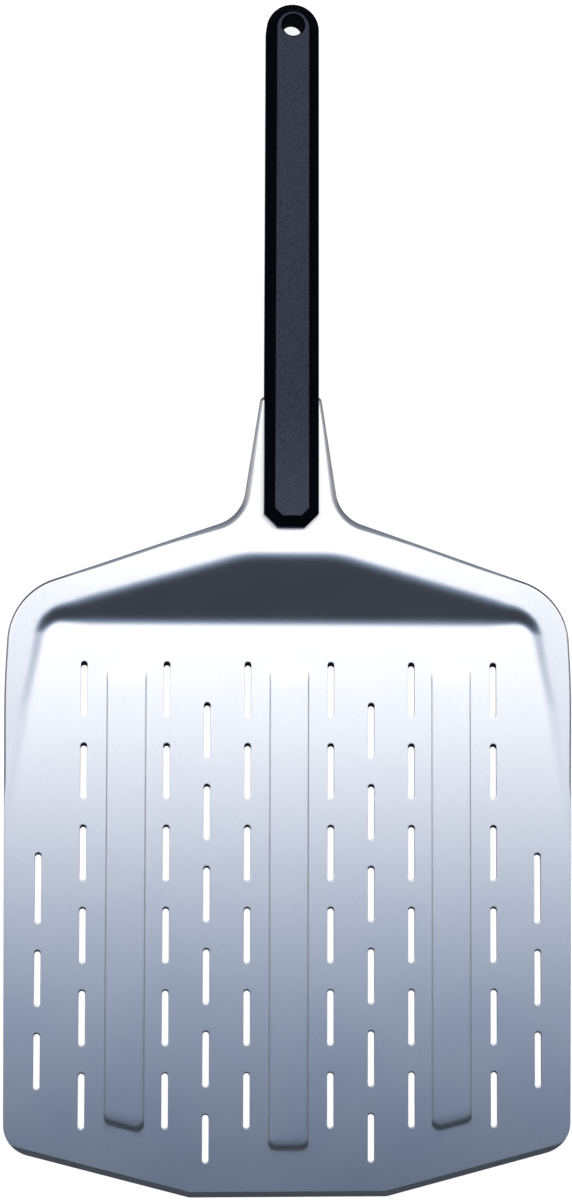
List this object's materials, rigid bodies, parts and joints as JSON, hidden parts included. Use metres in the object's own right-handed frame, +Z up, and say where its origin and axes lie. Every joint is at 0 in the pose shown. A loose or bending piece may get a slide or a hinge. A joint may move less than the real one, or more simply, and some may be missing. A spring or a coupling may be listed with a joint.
{
  "type": "pizza peel",
  "caption": "Flat slotted metal blade with pressed ribs, a raised step at the back and a long straight bevelled handle with a hanging hole.",
  "frame": {"origin": "on the surface the blade lies on, under the centre of the whole object's box", "axes": "+Y along the handle, away from the blade's front edge; +Z up, out of the blade's upper face; X across the blade, which is symmetric about X = 0"},
  "size_m": [0.3552, 0.743, 0.0298],
  "materials": {
    "blade": "satin anodised, finely brushed along the length",
    "handle": "glass-filled nylon with a fine moulded texture",
    "screws": "plain machined steel",
    "inserts": "turned brass"
  },
  "bodies": {
    "root": {"blade": "blade", "handle_top": "handle", "handle_bottom": "handle", "handle_screws": "screws", "threaded_inserts": "inserts"}
  },
  "joints": []
}
